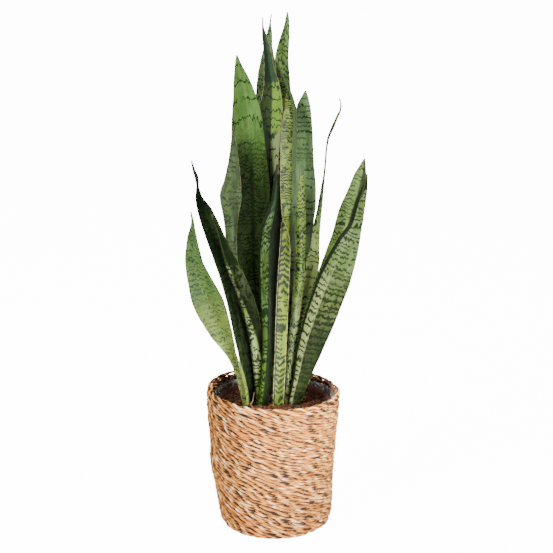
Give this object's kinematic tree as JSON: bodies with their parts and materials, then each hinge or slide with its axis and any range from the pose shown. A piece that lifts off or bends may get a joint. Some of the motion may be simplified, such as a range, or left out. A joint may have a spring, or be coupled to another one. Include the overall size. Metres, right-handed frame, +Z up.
{
  "type": "potted ceylon bowstring hemp",
  "caption": "Upright clump of stiff banded sword leaves in a plastic nursery pot, with a clear liner, inside a round hand-twisted seagrass basket.",
  "frame": {"origin": "centre of the basket's flat underside", "axes": "+Z up, +X to the right and +Y away from the viewer of the pictured front"},
  "size_m": [0.2854, 0.2221, 0.8341],
  "materials": {
    "seagrass": "dry twisted seagrass rope, straw and tan, matt",
    "clear_film": "thin clear film, slightly cloudy, glossy creases",
    "pot_plastic": "thin reddish-brown moulded plastic, satin",
    "soil": "dark reddish-brown coir and bark mix, matt",
    "leaf_light": "firm waxy leaf, pale yellow-green ground with dark green crossbands, satin",
    "leaf_dark": "firm waxy leaf, mid to dark green ground with near-black crossbands, satin"
  },
  "bodies": {
    "root": {"seagrass_basket": "seagrass", "clear_liner": "clear_film", "nursery_pot": "pot_plastic", "potting_soil": "soil", "leaf_low_left": "leaf_light", "leaf_dark_left": "leaf_dark", "leaf_keeled_left": "leaf_dark", "leaf_broad_rear_left": "leaf_dark", "leaf_turned_rear_left": "leaf_light", "leaf_tall_grooved": "leaf_dark", "leaf_tall_rear": "leaf_dark", "leaf_twisted_centre": "leaf_light", "leaf_tall_right": "leaf_light", "leaf_rear_right": "leaf_dark", "leaf_narrow_right": "leaf_light", "leaf_rolled_right": "leaf_dark", "leaf_keeled_right": "leaf_light", "leaf_low_right": "leaf_light", "leaf_keeled_front": "leaf_dark"}
  },
  "joints": []
}
